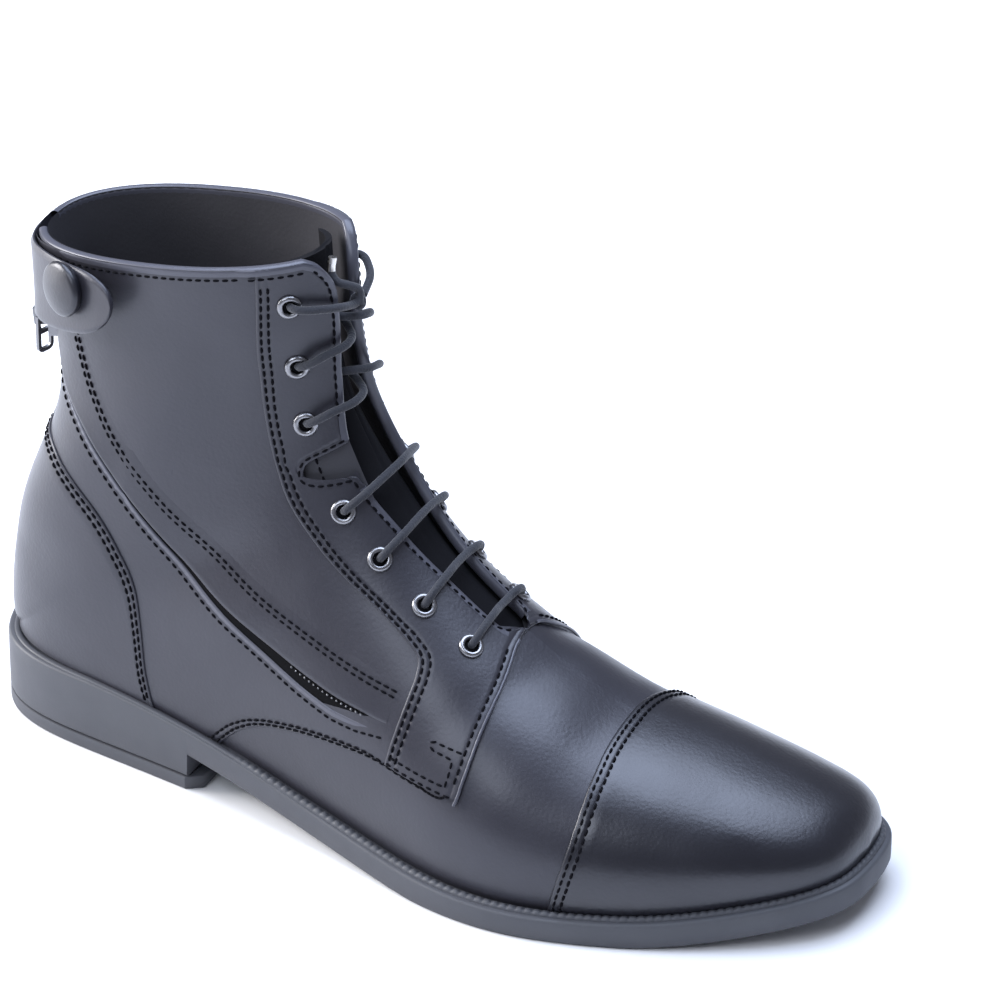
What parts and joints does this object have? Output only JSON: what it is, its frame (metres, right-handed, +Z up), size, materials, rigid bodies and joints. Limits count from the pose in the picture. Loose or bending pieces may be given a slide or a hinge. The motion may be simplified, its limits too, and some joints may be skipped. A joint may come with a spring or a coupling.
{
  "type": "jodhpur boot",
  "caption": "Right lace-up jodhpur boot for riding: hollow leather upper with toe cap, side zip under a flap, snap strap, ribbed rubber sole and low heel.",
  "frame": {"origin": "middle of the sole's plan, on the ground", "axes": "+X from heel to toe, +Y to the inner (medial) side, +Z up"},
  "size_m": [0.3034, 0.1046, 0.1895],
  "materials": {
    "black_leather": "smooth black calf leather with a soft sheen",
    "dark_lining": "matte dark lining leather",
    "black_rubber": "matte black rubber",
    "gunmetal": "dark gunmetal",
    "black_lace": "round braided black cord"
  },
  "bodies": {
    "boot": {"upper": "black_leather", "tongue": "black_leather", "toe_cap": "black_leather", "counter": "black_leather", "eyestay_lateral": "black_leather", "eyestay_medial": "black_leather", "zip_flap": "black_leather", "back_strap": "black_leather", "snap_button": "black_leather", "outsole": "black_rubber", "heel_top_lift": "black_rubber", "welt": "black_rubber", "insole": "dark_lining", "eyelet_lateral_1": "gunmetal", "eyelet_lateral_2": "gunmetal", "eyelet_lateral_3": "gunmetal", "eyelet_lateral_4": "gunmetal", "eyelet_lateral_5": "gunmetal", "eyelet_lateral_6": "gunmetal", "eyelet_lateral_7": "gunmetal", "eyelet_medial_1": "gunmetal", "eyelet_medial_2": "gunmetal", "eyelet_medial_3": "gunmetal", "eyelet_medial_4": "gunmetal", "eyelet_medial_5": "gunmetal", "eyelet_medial_6": "gunmetal", "eyelet_medial_7": "gunmetal", "zip_chain": "gunmetal", "zip_slider": "gunmetal", "lace_bar_4": "black_lace", "lace_bar_5": "black_lace", "lace_bar_6": "black_lace", "lace_bar_7": "black_lace", "lace_cross_1_lateral": "black_lace", "lace_cross_1_medial": "black_lace", "lace_cross_2_lateral": "black_lace", "lace_cross_2_medial": "black_lace", "lace_cross_3_lateral": "black_lace", "lace_cross_3_medial": "black_lace", "lace_knot": "black_lace", "lace_end": "black_lace"},
    "pull_tab": {"zip_pull_tab": "gunmetal"}
  },
  "joints": [
    {"name": "pull_tab_swing", "type": "hinge", "parent": "boot", "child": "pull_tab", "pos_m": [-0.13347, 0.00226, 0.14107], "axis": [-0.233, 0.9725, 0], "range_deg": [0, 80]}
  ]
}
